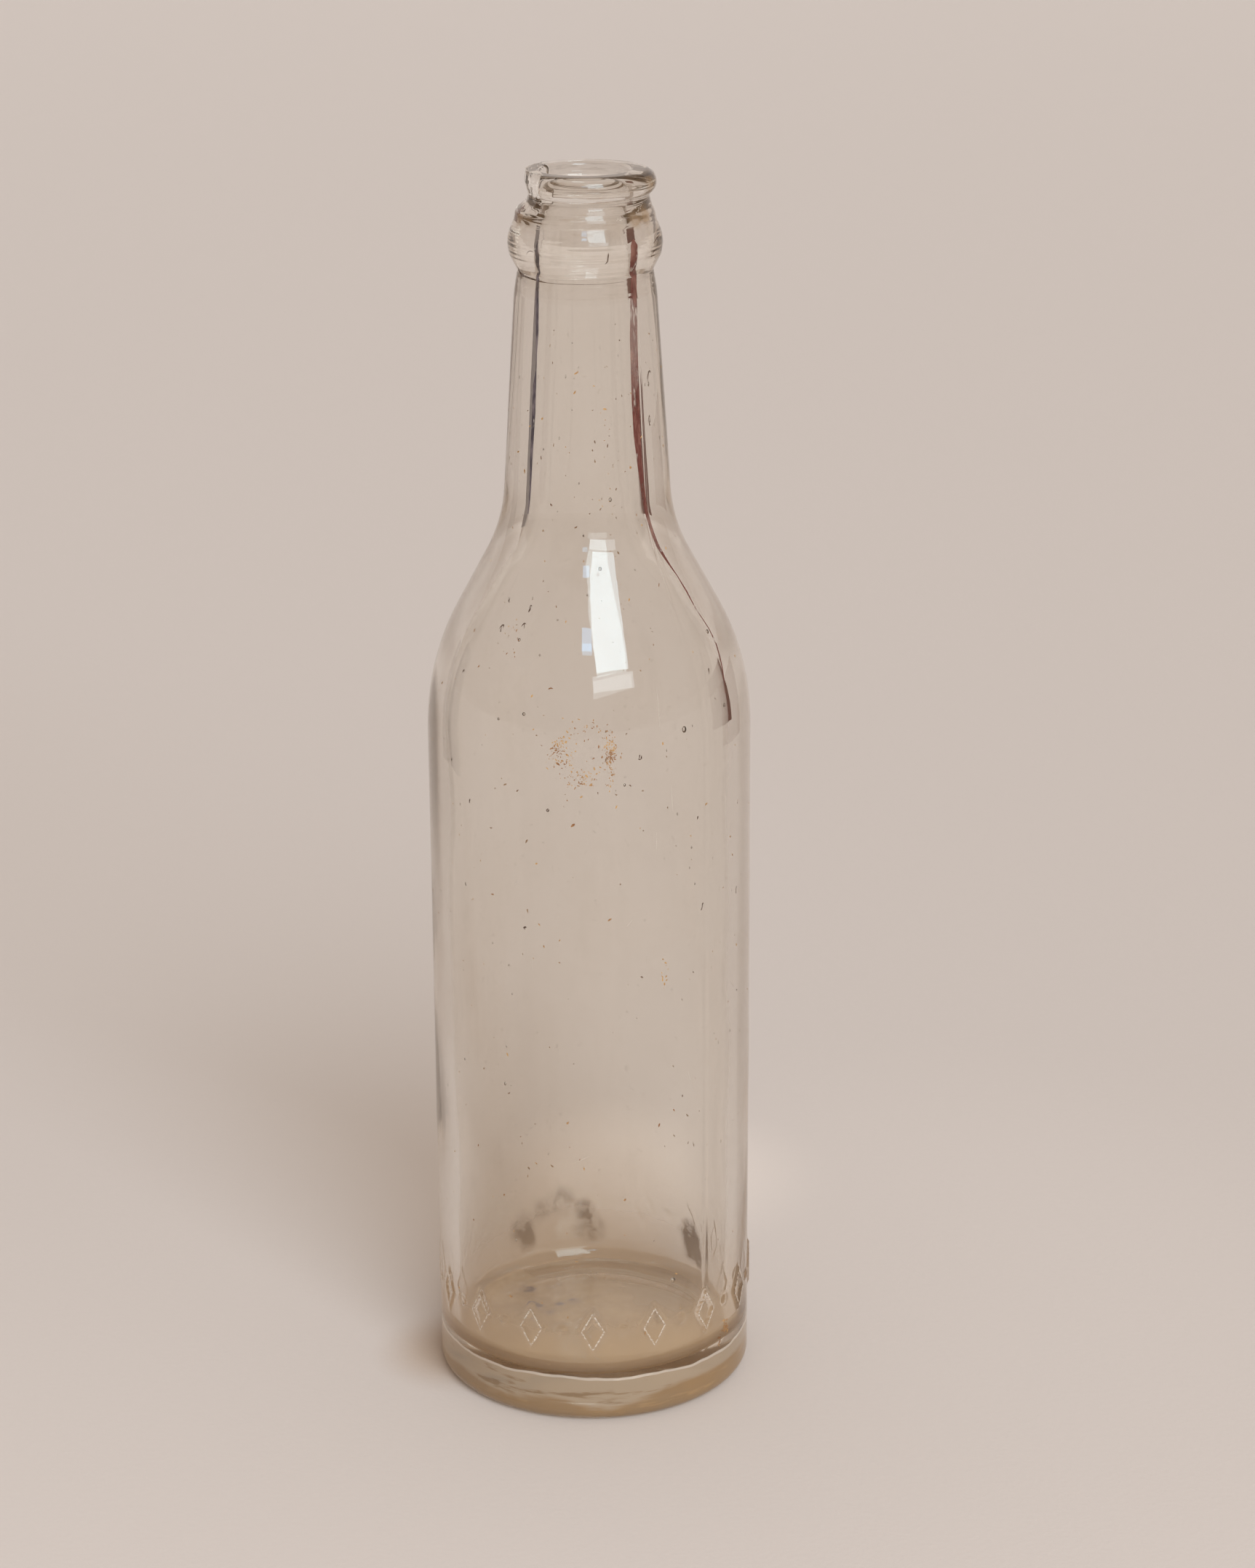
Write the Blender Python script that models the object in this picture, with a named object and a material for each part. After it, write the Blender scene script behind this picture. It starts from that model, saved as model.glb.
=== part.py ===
"""A machine-made glass soda bottle with a crown finish, standing on its base.

The bottle is one piece of clear glass: a thick pushed-up base, a straight body, a sloping
shoulder, a tapering neck and a crown lip over a neck ring. A flake has been struck off the
lip on the -X side. Raised lozenges and studs run round the heel.

Frame: metres, +Z up, origin on the table at the middle of the base.
"""

import math

import bmesh
import bpy
from mathutils import Vector

MM = 0.001

# Whole bottle
HEIGHT = 241.3 * MM
BODY_RADIUS = 31.15 * MM
BODY_BORE = 27.1 * MM
SEGMENTS = 40               # facets round the bottle
ARC_STEP = math.radians(12)  # longest turn between two points of an arc

# Base
PUSH_UP = 3.2 * MM          # hollow under the base: its middle, its edge and how wide it is
PUSH_UP_EDGE = 2.2 * MM
PUSH_UP_RADIUS = 24.5 * MM
PUSH_UP_ROUND = 2.0 * MM
RING_INNER = 26.2 * MM      # flat bearing ring that the bottle stands on
HEEL_ROUND = 2.9 * MM
FLOOR_EDGE = 8.4 * MM       # inner floor, at the wall and in the middle
FLOOR_MIDDLE = 9.4 * MM
FLOOR_ROUND = 5.0 * MM

# Shoulder and neck: where the straight stretches would meet, and the rounding between them
SHOULDER_Z = 147.4 * MM
SHOULDER_ROUND = 50.0 * MM
SHOULDER_BORE_ROUND = 44.0 * MM
NECK_FOOT_RADIUS = 16.15 * MM
NECK_FOOT_Z = 174.9 * MM
NECK_FOOT_ROUND = 30.0 * MM
NECK_TOP_RADIUS = 13.3 * MM
NECK_TOP_Z = 218.6 * MM
NECK_TOP_ROUND = 8.0 * MM
BORE_FOOT_RADIUS = 10.9 * MM
BORE_FOOT_Z = 174.0 * MM
BORE_FOOT_ROUND = 22.0 * MM
BORE_TOP_RADIUS = 8.05 * MM
BORE_TOP_LOW_Z = 221.6 * MM
BORE_TOP_HIGH_Z = 229.6 * MM
BORE_TOP_ROUND = 60.0 * MM

# Crown finish: groove, neck ring, throat and lip
GROOVE_RADIUS = 12.6 * MM
GROOVE_Z = 222.9 * MM
GROOVE_ROUND = 1.3 * MM
RING_LOW_RADIUS = 14.1 * MM
RING_LOW_Z = 225.8 * MM
RING_LOW_ROUND = 3.0 * MM
RING_RADIUS = 14.6 * MM
RING_Z = 228.8 * MM
RING_ROUND = 7.2 * MM
THROAT_RADIUS = 11.9 * MM
THROAT_LOW_Z = 234.5 * MM
THROAT_ROUND = 3.2 * MM
LIP_RADIUS = 13.2 * MM      # widest place of the lip's bead, and its height
LIP_Z = 238.85 * MM
LIP_ROUND = 2.05 * MM
LIP_ROOT = 0.2 * MM         # how far the bead stands out of the throat where they meet
LIP_LAND = 9.6 * MM         # inner edge of the flat top of the lip
MOUTH_RADIUS = 8.3 * MM
MOUTH_ROUND = 0.8 * MM

# Flake struck off the lip: radius left standing and height, from its foot upwards
FLAKE_LINE = (
    (13.6 * MM, 233.0 * MM),
    (11.6 * MM, 234.3 * MM),
    (10.6 * MM, 236.0 * MM),
    (10.8 * MM, 242.5 * MM),
)
FLAKE_FAR = 18.0 * MM       # the cutter's far side, well outside the lip
FLAKE_HALF_ANGLE = math.radians(53)
FLAKE_SIDES = 14

# Raised ornament round the heel
ORNAMENT_COUNT = 16
ORNAMENT_Z = 20.0 * MM      # middle of the band
ORNAMENT_BAND = 7.0 * MM    # half of the band's height
ORNAMENT_RISE = 0.45 * MM
ORNAMENT_ROOT = 0.6 * MM    # how deep the ornament is rooted in the wall
LOZENGE_HALF_HEIGHT = 5.0 * MM
LOZENGE_HALF_WIDTH = 2.8 * MM
LOZENGE_STROKE = 0.55       # size of the opening as a share of the lozenge
STUD_RADIUS = 0.95 * MM
STUD_SIDES = 8

GLASS_COLOUR = (0.86, 0.84, 0.78, 1.0)
SHARP_ANGLE = math.radians(35)


def clear_scene():
    """Remove every object that the file opened with."""
    for thing in list(bpy.data.objects):
        bpy.data.objects.remove(thing, do_unlink=True)


def glass_material():
    """Clear glass with a faint straw tint."""
    material = bpy.data.materials.new("clear_glass")
    material.use_nodes = True
    shader = material.node_tree.nodes["Principled BSDF"]
    shader.inputs["Base Color"].default_value = GLASS_COLOUR
    shader.inputs["Metallic"].default_value = 0.0
    shader.inputs["Roughness"].default_value = 0.04
    shader.inputs["IOR"].default_value = 1.52
    shader.inputs["Transmission Weight"].default_value = 1.0
    return material


def arc(centre, start, turn):
    """Points from start, turned round centre by the angle turn, both ends included."""
    steps = max(2, math.ceil(abs(turn) / ARC_STEP))
    spoke = Vector(start) - Vector(centre)
    points = []
    for step in range(steps + 1):
        angle = turn * step / steps
        turned = Vector((
            spoke.x * math.cos(angle) - spoke.y * math.sin(angle),
            spoke.x * math.sin(angle) + spoke.y * math.cos(angle),
        ))
        points.append(Vector(centre) + turned)
    return points


def rounded_line(corners):
    """Points along a line through corners (radius, height, rounding) with the corners rounded."""
    points = []
    for index, (radius, height, rounding) in enumerate(corners):
        corner = Vector((radius, height))
        if rounding == 0.0 or index in (0, len(corners) - 1):
            points.append(corner)
            continue
        back = (Vector(corners[index - 1][:2]) - corner).normalized()
        ahead = (Vector(corners[index + 1][:2]) - corner).normalized()
        half = back.angle(ahead) / 2
        tangent = rounding / math.tan(half)
        centre = corner + (back + ahead).normalized() * (rounding / math.sin(half))
        side = 1.0 if back.cross(ahead) < 0.0 else -1.0
        points += arc(centre, corner + back * tangent, side * (math.pi - 2 * half))
    return points


def lip_bead():
    """The round outer side of the lip, from the throat up to the flat top."""
    middle = LIP_RADIUS - LIP_ROUND
    start = math.acos((THROAT_RADIUS + LIP_ROOT - middle) / LIP_ROUND)
    steps = math.ceil((start + math.pi / 2) / ARC_STEP)
    points = []
    for step in range(steps + 1):
        angle = (start + math.pi / 2) * step / steps - start
        rise = LIP_ROUND if angle < 0.0 else HEIGHT - LIP_Z
        points.append(Vector((
            middle + LIP_ROUND * math.cos(angle),
            LIP_Z + rise * math.sin(angle),
        )))
    return points


def outer_line():
    """The outside, from the middle of the base up to the flat top of the lip."""
    up_to_throat = rounded_line([
        (0.0, PUSH_UP, 0.0),
        (PUSH_UP_RADIUS, PUSH_UP_EDGE, PUSH_UP_ROUND),
        (RING_INNER, 0.0, 0.0),
        (BODY_RADIUS, 0.0, HEEL_ROUND),
        (BODY_RADIUS, ORNAMENT_Z - ORNAMENT_BAND, 0.0),
        (BODY_RADIUS, ORNAMENT_Z + ORNAMENT_BAND, 0.0),
        (BODY_RADIUS, SHOULDER_Z, SHOULDER_ROUND),
        (NECK_FOOT_RADIUS, NECK_FOOT_Z, NECK_FOOT_ROUND),
        (NECK_TOP_RADIUS, NECK_TOP_Z, NECK_TOP_ROUND),
        (GROOVE_RADIUS, GROOVE_Z, GROOVE_ROUND),
        (RING_LOW_RADIUS, RING_LOW_Z, RING_LOW_ROUND),
        (RING_RADIUS, RING_Z, RING_ROUND),
        (THROAT_RADIUS, THROAT_LOW_Z, THROAT_ROUND),
        (THROAT_RADIUS, LIP_Z, 0.0),
    ])
    return up_to_throat[:-1] + lip_bead()


def inner_line():
    """The inside, from the flat top of the lip down to the middle of the floor."""
    return rounded_line([
        (LIP_LAND, HEIGHT, 0.0),
        (MOUTH_RADIUS, HEIGHT, MOUTH_ROUND),
        (BORE_TOP_RADIUS, BORE_TOP_HIGH_Z, 0.0),
        (BORE_TOP_RADIUS, BORE_TOP_LOW_Z, BORE_TOP_ROUND),
        (BORE_FOOT_RADIUS, BORE_FOOT_Z, BORE_FOOT_ROUND),
        (BODY_BORE, SHOULDER_Z, SHOULDER_BORE_ROUND),
        (BODY_BORE, FLOOR_EDGE, FLOOR_ROUND),
        (0.0, FLOOR_MIDDLE, 0.0),
    ])


def lathe(name, line):
    """Turn a line that starts and ends on the axis round Z, into one closed mesh."""
    shape = bmesh.new()
    first = shape.verts.new((0.0, 0.0, line[0].y))
    last = shape.verts.new((0.0, 0.0, line[-1].y))
    rings = []
    for point in line[1:-1]:
        ring = []
        for side in range(SEGMENTS):
            angle = 2 * math.pi * side / SEGMENTS
            place = (point.x * math.cos(angle), point.x * math.sin(angle), point.y)
            ring.append(shape.verts.new(place))
        rings.append(ring)
    for side in range(SEGMENTS):
        after = (side + 1) % SEGMENTS
        shape.faces.new((first, rings[0][after], rings[0][side]))
        shape.faces.new((last, rings[-1][side], rings[-1][after]))
        for low, high in zip(rings, rings[1:]):
            shape.faces.new((low[side], low[after], high[after], high[side]))
    return finish_mesh(name, shape)


def finish_mesh(name, shape):
    """Turn a bmesh into an object with its faces pointing out."""
    bmesh.ops.recalc_face_normals(shape, faces=shape.faces)
    mesh = bpy.data.meshes.new(name)
    shape.to_mesh(mesh)
    shape.free()
    thing = bpy.data.objects.new(name, mesh)
    bpy.context.collection.objects.link(thing)
    return thing


def on_wall(radius, across, height, angle):
    """A point on a cylinder: across is measured along the wall from the given angle."""
    turn = angle + across / BODY_RADIUS
    return (radius * math.cos(turn), radius * math.sin(turn), ORNAMENT_Z + height)


def add_lozenge(shape, angle):
    """A raised lozenge outline, rooted in the wall."""
    corners = ((0.0, 1.0), (1.0, 0.0), (0.0, -1.0), (-1.0, 0.0))
    loops = []
    for share, radius in (
        (1.0, BODY_RADIUS - ORNAMENT_ROOT),
        (1.0, BODY_RADIUS + ORNAMENT_RISE),
        (LOZENGE_STROKE, BODY_RADIUS + ORNAMENT_RISE),
        (LOZENGE_STROKE, BODY_RADIUS - ORNAMENT_ROOT),
    ):
        loop = []
        for across, up in corners:
            place = on_wall(
                radius,
                across * share * LOZENGE_HALF_WIDTH,
                up * share * LOZENGE_HALF_HEIGHT,
                angle,
            )
            loop.append(shape.verts.new(place))
        loops.append(loop)
    for near, far in zip(loops, loops[1:] + loops[:1]):
        for side in range(4):
            after = (side + 1) % 4
            shape.faces.new((near[side], near[after], far[after], far[side]))


def add_stud(shape, angle):
    """A small round stud, rooted in the wall."""
    rings = []
    for radius in (BODY_RADIUS - ORNAMENT_ROOT, BODY_RADIUS + ORNAMENT_RISE):
        ring = []
        for side in range(STUD_SIDES):
            turn = 2 * math.pi * side / STUD_SIDES
            place = on_wall(
                radius,
                STUD_RADIUS * math.cos(turn),
                STUD_RADIUS * math.sin(turn),
                angle,
            )
            ring.append(shape.verts.new(place))
        rings.append(ring)
    shape.faces.new(rings[0])
    shape.faces.new(rings[1])
    for side in range(STUD_SIDES):
        after = (side + 1) % STUD_SIDES
        shape.faces.new((rings[0][side], rings[0][after], rings[1][after], rings[1][side]))


def heel_ornament():
    """Lozenges and studs by turns round the heel, as one guide for the union."""
    shape = bmesh.new()
    pitch = 2 * math.pi / ORNAMENT_COUNT
    for index in range(ORNAMENT_COUNT):
        add_lozenge(shape, index * pitch)
        add_stud(shape, (index + 0.5) * pitch)
    return as_guide(finish_mesh("heel_ornament_guide", shape))


def lip_flake():
    """The curved block that takes the flake off the lip."""
    corners = (*FLAKE_LINE, (FLAKE_FAR, FLAKE_LINE[-1][1]), (FLAKE_FAR, FLAKE_LINE[0][1]))
    shape = bmesh.new()
    loops = []
    for step in range(FLAKE_SIDES + 1):
        angle = math.pi + FLAKE_HALF_ANGLE * (2 * step / FLAKE_SIDES - 1)
        loops.append([
            shape.verts.new((radius * math.cos(angle), radius * math.sin(angle), height))
            for radius, height in corners
        ])
    for near, far in zip(loops, loops[1:]):
        for side in range(len(corners)):
            after = (side + 1) % len(corners)
            shape.faces.new((near[side], near[after], far[after], far[side]))
    shape.faces.new(loops[0])
    shape.faces.new(loops[-1])
    return as_guide(finish_mesh("lip_flake_guide", shape))


def as_guide(thing):
    """Keep a cutter or a guide out of the model itself."""
    thing.hide_render = True
    thing.display_type = "WIRE"
    return thing


def join(thing, guide, operation):
    """Cut the guide out of the object, or merge it in."""
    step = thing.modifiers.new(guide.name, "BOOLEAN")
    step.operation = operation
    step.solver = "EXACT"
    step.object = guide


def build():
    """Make the whole bottle."""
    clear_scene()
    bottle = lathe("glass_bottle", outer_line() + inner_line())
    bottle.data.materials.append(glass_material())
    join(bottle, heel_ornament(), "UNION")
    join(bottle, lip_flake(), "DIFFERENCE")
    bottle.data.shade_smooth()
    bottle.data.set_sharp_from_angle(angle=SHARP_ANGLE)


build()
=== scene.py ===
"""Looks of the glass soda bottle: fine glass with its flaws, dried residue, studio and camera.

Lengths are in metres, in the model's own frame: +Z up, the bottle's axis on Z, its base on 0.
Angles round the bottle are in degrees from the front (-Y), and grow towards +X.
"""

import math

import bmesh
import bpy
import numpy as np
from mathutils import Euler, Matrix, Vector, noise


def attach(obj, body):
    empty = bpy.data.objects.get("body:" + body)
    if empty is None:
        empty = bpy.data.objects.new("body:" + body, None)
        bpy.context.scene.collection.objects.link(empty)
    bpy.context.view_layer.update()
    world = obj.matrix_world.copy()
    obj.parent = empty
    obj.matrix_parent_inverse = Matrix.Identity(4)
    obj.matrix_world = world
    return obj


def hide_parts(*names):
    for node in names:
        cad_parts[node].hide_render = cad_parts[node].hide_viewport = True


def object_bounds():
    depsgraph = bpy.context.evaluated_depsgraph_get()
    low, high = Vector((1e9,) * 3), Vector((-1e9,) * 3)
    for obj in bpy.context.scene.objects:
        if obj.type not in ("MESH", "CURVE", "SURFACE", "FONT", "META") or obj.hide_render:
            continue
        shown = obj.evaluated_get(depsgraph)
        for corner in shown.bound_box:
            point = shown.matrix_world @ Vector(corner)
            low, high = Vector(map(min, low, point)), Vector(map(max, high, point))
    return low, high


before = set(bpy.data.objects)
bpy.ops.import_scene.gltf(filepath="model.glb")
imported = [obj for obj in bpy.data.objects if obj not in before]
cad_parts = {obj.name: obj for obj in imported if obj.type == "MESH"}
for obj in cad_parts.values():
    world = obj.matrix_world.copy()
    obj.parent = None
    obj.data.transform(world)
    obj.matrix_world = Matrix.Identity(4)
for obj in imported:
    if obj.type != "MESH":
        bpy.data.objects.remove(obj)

cad_low, cad_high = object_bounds()

MM = 0.001
HEIGHT = cad_high.z - cad_low.z

# The turned shape: the solid model's, with a finer step in the flank of the neck ring
ORNAMENT_RISE = 0.45 * MM
BODY_RADIUS = cad_high.x - ORNAMENT_RISE
BODY_BORE = BODY_RADIUS - 4.05 * MM
RING_INNER = BODY_RADIUS - 4.95 * MM
HEEL_ROUND = 2.9 * MM
PUSH_UP = 3.2 * MM
PUSH_UP_EDGE = 2.2 * MM
PUSH_UP_RADIUS = 24.5 * MM
FLOOR_EDGE = 8.4 * MM
FLOOR_MIDDLE = 9.4 * MM
FLOOR_ROUND = 5.0 * MM
SHOULDER_Z = 147.4 * MM
NECK_FOOT = (16.15 * MM, 174.9 * MM)
NECK_TOP = (13.3 * MM, 218.6 * MM)
BORE_FOOT = (10.9 * MM, 174.0 * MM)
BORE_TOP_RADIUS = 8.05 * MM
BORE_TOP_LOW_Z = 221.6 * MM
BORE_TOP_HIGH_Z = 229.6 * MM
GROOVE = (12.6 * MM, 222.9 * MM)
RING_LOW = (14.1 * MM, 225.8 * MM)
RING = (14.6 * MM, 228.8 * MM)
RING_HIGH = (13.15 * MM, 232.0 * MM)
RING_STEP = (12.85 * MM, 233.6 * MM)
THROAT_EDGE = (12.4 * MM, 234.45 * MM)
THROAT_RADIUS = 11.9 * MM
THROAT_LOW_Z = 236.2 * MM
LIP_RADIUS = 13.2 * MM
LIP_Z = 238.85 * MM
LIP_ROUND = 2.05 * MM
LIP_ROOT = 0.2 * MM
LIP_LAND = 9.6 * MM
MOUTH_RADIUS = 8.3 * MM

# The flake struck off the lip: its depth (radius left standing) at each height, and its width
FLAKE_LINE = (
    (232.0, 14.6),
    (233.2, 13.6),
    (234.2, 12.5),
    (234.9, 11.6),
    (235.5, 10.9),
    (236.2, 10.45),
    (237.0, 10.4),
    (238.0, 10.7),
    (239.2, 11.05),
    (241.3, 10.85),
    (246.0, 10.8),
)
FLAKE_HALF_ANGLE = 53.0

# Raised ornament round the heel
ORNAMENT_COUNT = 16
ORNAMENT_Z = 20.0 * MM
ORNAMENT_BAND = 7.0 * MM
LOZENGE_HALF_HEIGHT = 5.0 * MM
LOZENGE_HALF_WIDTH = 2.8 * MM
STUD_RADIUS = 0.95 * MM

INNER_LEAN = -0.25 * MM         # the hollow stands slightly off the bottle's axis
FILM_DEPTH = 0.3 * MM           # residue bonded to the glass lies this far inside its surface
STAIN_DEPTH = 0.4 * MM
GRIME_STAND_OFF = 0.05 * MM
DIRT_STAND_OFF = 0.5 * MM

# Painted shade in soft blotches under the lip at the sides of the throat, and soft dirt at the back of
# the heel: angle, height, radius (mm) and strength
THROAT_SHADE_BLOTCHES = (
    (-66.0, 233.2, 2.4, 0.55),
    (-52.0, 233.0, 1.9, 0.35),
    (46.0, 233.2, 2.2, 0.50),
    (60.0, 233.6, 2.4, 0.55),
    (24.0, 232.0, 3.0, 0.12),
    (66.0, 239.0, 2.6, 0.40),
)
DIRT_PATCHES = (
    (-148, 16, 4.6, 0.8),
    (-150, 13, 3.4, 0.7),
    (-178, 14, 5.2, 0.6),
    (-176, 18, 3.4, 0.6),
    (-166, 20, 4.6, 0.35),
    (-157, 19, 3.6, 0.3),
    (131, 14, 5.0, 1.0),
    (134, 17, 4.4, 0.9),
    (126, 12, 3.6, 0.9),
)
# Curled nicks: angle, height and length (mm)
CURLS = (
    (-41, 164, 0.8),
    (-28, 163, 0.8),
    (-29, 160, 0.8),
    (-40, 159, 0.9),
    (-54, 150, 0.6),
    (-14, 127, 0.5),
    (-49, 109, 0.5),
    (18, 137, 0.9),
    (41, 123, 0.6),
    (43, 105, 0.9),
    (64, 105, 1.0),
    (-23, 103, 0.5),
    (-56, 133, 0.5),
    (-46, 126, 0.5),
    (52, 150, 0.9),
    (57, 143, 0.6),
    (-2, 176, 0.3),
    (52, 196, 1.4),
    (55, 204, 1.8),
)
# Marks on the inner floor, in mm right of and behind the axis: clots with a radius and strength,
# and grains with a radius
FLOOR_CLOTS = (
    (-14, 13, 3.4, 0.8),
    (-12, 4, 3.2, 0.9),
    (-4, 6, 2.4, 1.0),
    (-7, 5, 2.0, 0.7),
    (-9, 1, 2.6, 0.5),
)
FLOOR_GRAINS = (
    (-8, -5, 0.7),
    (-13, -17, 0.8),
    (-14, -14, 0.5),
    (9, -24, 0.7),
    (-3, -24, 0.5),
    (4, -6, 0.5),
    (12, -11, 0.6),
    (16, 4, 0.5),
)

# How finely the glass is turned
SIDES = 384
ARC_STEP = math.radians(3)
SEAM_ANGLES = (45.0, 225.0)     # the two halves of the mould met here


# ---------------------------------------------------------------- shader graph

class Signal:
    """A shader socket that takes part in Python arithmetic."""

    def __init__(self, graph, socket):
        self.graph = graph
        self.socket = socket

    def maths(self, operation, *others, clamp=False):
        """This signal and others through one Math node."""
        settings = {"operation": operation, "use_clamp": clamp}
        node = self.graph.node("ShaderNodeMath", settings, {0: self, **dict(enumerate(others, 1))})
        return self.graph.out(node)

    def __add__(self, other):
        return self.maths("ADD", other)

    __radd__ = __add__

    def __mul__(self, other):
        return self.maths("MULTIPLY", other)

    __rmul__ = __mul__

    def __sub__(self, other):
        return self.maths("SUBTRACT", other)

    def __rsub__(self, other):
        return (self * -1.0) + other

    def __truediv__(self, other):
        return self.maths("DIVIDE", other)

    def __pow__(self, other):
        return self.maths("POWER", other)

    def larger(self, other):
        """The larger of this signal and another."""
        return self.maths("MAXIMUM", other)

    def clamped(self):
        """This signal kept between 0 and 1."""
        return self.maths("ADD", 0.0, clamp=True)

    def rise(self, low, high):
        """A smooth step from 0 to 1 between two lengths in millimetres."""
        return self.step(low * MM, high * MM)

    def fall(self, low, high):
        """A smooth step from 1 down to 0 between two lengths in millimetres."""
        return 1.0 - self.rise(low, high)

    def step(self, low, high):
        """A smooth step from 0 at low to 1 at high."""
        settings = {"interpolation_type": "SMOOTHSTEP"}
        inputs = {"Value": self, "From Min": low, "From Max": high}
        return self.graph.out(self.graph.node("ShaderNodeMapRange", settings, inputs))


class Graph:
    """One material's node tree, emptied and ready."""

    def __init__(self, name):
        self.material = bpy.data.materials.new(name)
        self.material.use_nodes = True
        self.tree = self.material.node_tree
        self.tree.nodes.clear()
        self.output = self.node("ShaderNodeOutputMaterial")

    def node(self, kind, settings=None, inputs=None):
        """A node of that type, with its settings and then its inputs, by name or number."""
        node = self.tree.nodes.new(kind)
        for key, value in (settings or {}).items():
            setattr(node, key, value)
        for key, value in (inputs or {}).items():
            if isinstance(value, Signal):
                self.tree.links.new(value.socket, node.inputs[key])
            else:
                node.inputs[key].default_value = value
        return node

    def out(self, node, name=0):
        """One of a node's outputs, as a signal."""
        return Signal(self, node.outputs[name])

    def place(self):
        """The point in the bottle's own space, as a vector signal."""
        return self.out(self.node("ShaderNodeTexCoord"), "Object")

    def split(self, vector):
        """A vector's X, Y and Z."""
        node = self.node("ShaderNodeSeparateXYZ", inputs={0: vector})
        return [self.out(node, axis) for axis in "XYZ"]

    def stretched(self, vector, factors):
        """A vector multiplied along each axis."""
        inputs = {0: vector, 1: factors}
        node = self.node("ShaderNodeVectorMath", {"operation": "MULTIPLY"}, inputs)
        return self.out(node)

    def noise(self, vector, size, detail=3.0, roughness=0.55, distortion=0.0):
        """Noise from 0 to 1 whose blobs are about size metres across."""
        inputs = {
            "Vector": vector,
            "Scale": 1.0 / size,
            "Detail": detail,
            "Roughness": roughness,
            "Distortion": distortion,
        }
        return self.out(self.node("ShaderNodeTexNoise", inputs=inputs), 0)

    def blend(self, amount, low, high):
        """One colour fading into another; each is a signal or three numbers."""
        settings = {"data_type": "RGBA"}
        low, high = [end if isinstance(end, Signal) else (*end, 1.0) for end in (low, high)]
        inputs = {0: amount, 6: low, 7: high}
        return self.out(self.node("ShaderNodeMix", settings, inputs), 2)

    def spot(self, vector, centre, radius):
        """1 at a point, fading to 0 at radius."""
        inputs = {0: vector, 1: centre}
        node = self.node("ShaderNodeVectorMath", {"operation": "DISTANCE"}, inputs)
        return self.out(node, "Value").step(radius, 0.25 * radius)

    def spots(self, vector, places):
        """Soft spots added up, each given by its centre, radius and strength."""
        total = 0.0
        for centre, radius, strength in places:
            total = self.spot(vector, centre, radius) * strength + total
        return total

    def bump(self, height, distance):
        """A normal from a height signal."""
        node = self.node("ShaderNodeBump", inputs={"Height": height, "Distance": distance})
        return self.out(node)

    def principled(self, **inputs):
        """A Principled shader; underscores in the names stand for spaces."""
        named = {key.replace("_", " "): value for key, value in inputs.items()}
        return self.out(self.node("ShaderNodeBsdfPrincipled", inputs=named))

    def matt(self, colour, alpha, roughness=0.8, **more):
        """A finished dull material of that colour and alpha."""
        return self.finish(self.principled(Base_Color=colour, Roughness=roughness, Alpha=alpha, **more))

    def finish(self, surface, volume=None):
        """Link the shader to the output and return the material."""
        self.tree.links.new(surface.socket, self.output.inputs["Surface"])
        if volume is not None:
            self.tree.links.new(volume.socket, self.output.inputs["Volume"])
        return self.material


# ---------------------------------------------------------------- materials

def clear_glass():
    """Old soda-lime glass: faint straw tint in its thickness, and a hint of unevenness."""
    graph = Graph("clear_glass")
    place = graph.place()
    ripples = graph.noise(graph.stretched(place, (1.0, 1.0, 0.35)), 5.0 * MM, 2.0)
    glass = graph.principled(
        Base_Color=(0.985, 0.98, 0.965, 1.0),
        Roughness=0.0,
        IOR=1.52,
        Transmission_Weight=1.0,
        Normal=graph.bump(ripples, 0.02 * MM),
    )
    to_lamps = graph.out(
        graph.node("ShaderNodeBsdfTransparent", inputs={"Color": (0.82, 0.79, 0.75, 1.0)})
    )
    path = graph.node("ShaderNodeLightPath")
    edge = graph.out(graph.node("ShaderNodeLayerWeight", inputs={"Blend": 0.5}), "Facing")
    to_lamp = graph.out(path, "Is Shadow Ray") * (1.0 - 0.7 * edge ** 3.0)
    passes = to_lamp.larger(graph.out(path, "Is Diffuse Ray"))
    surface = graph.out(graph.node("ShaderNodeMixShader", inputs={0: passes, 1: glass, 2: to_lamps}))
    tint = graph.out(
        graph.node(
            "ShaderNodeVolumeAbsorption",
            inputs={"Color": (0.62, 0.46, 0.22, 1.0), "Density": 14.0},
        )
    )
    return graph.finish(surface, tint)


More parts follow.
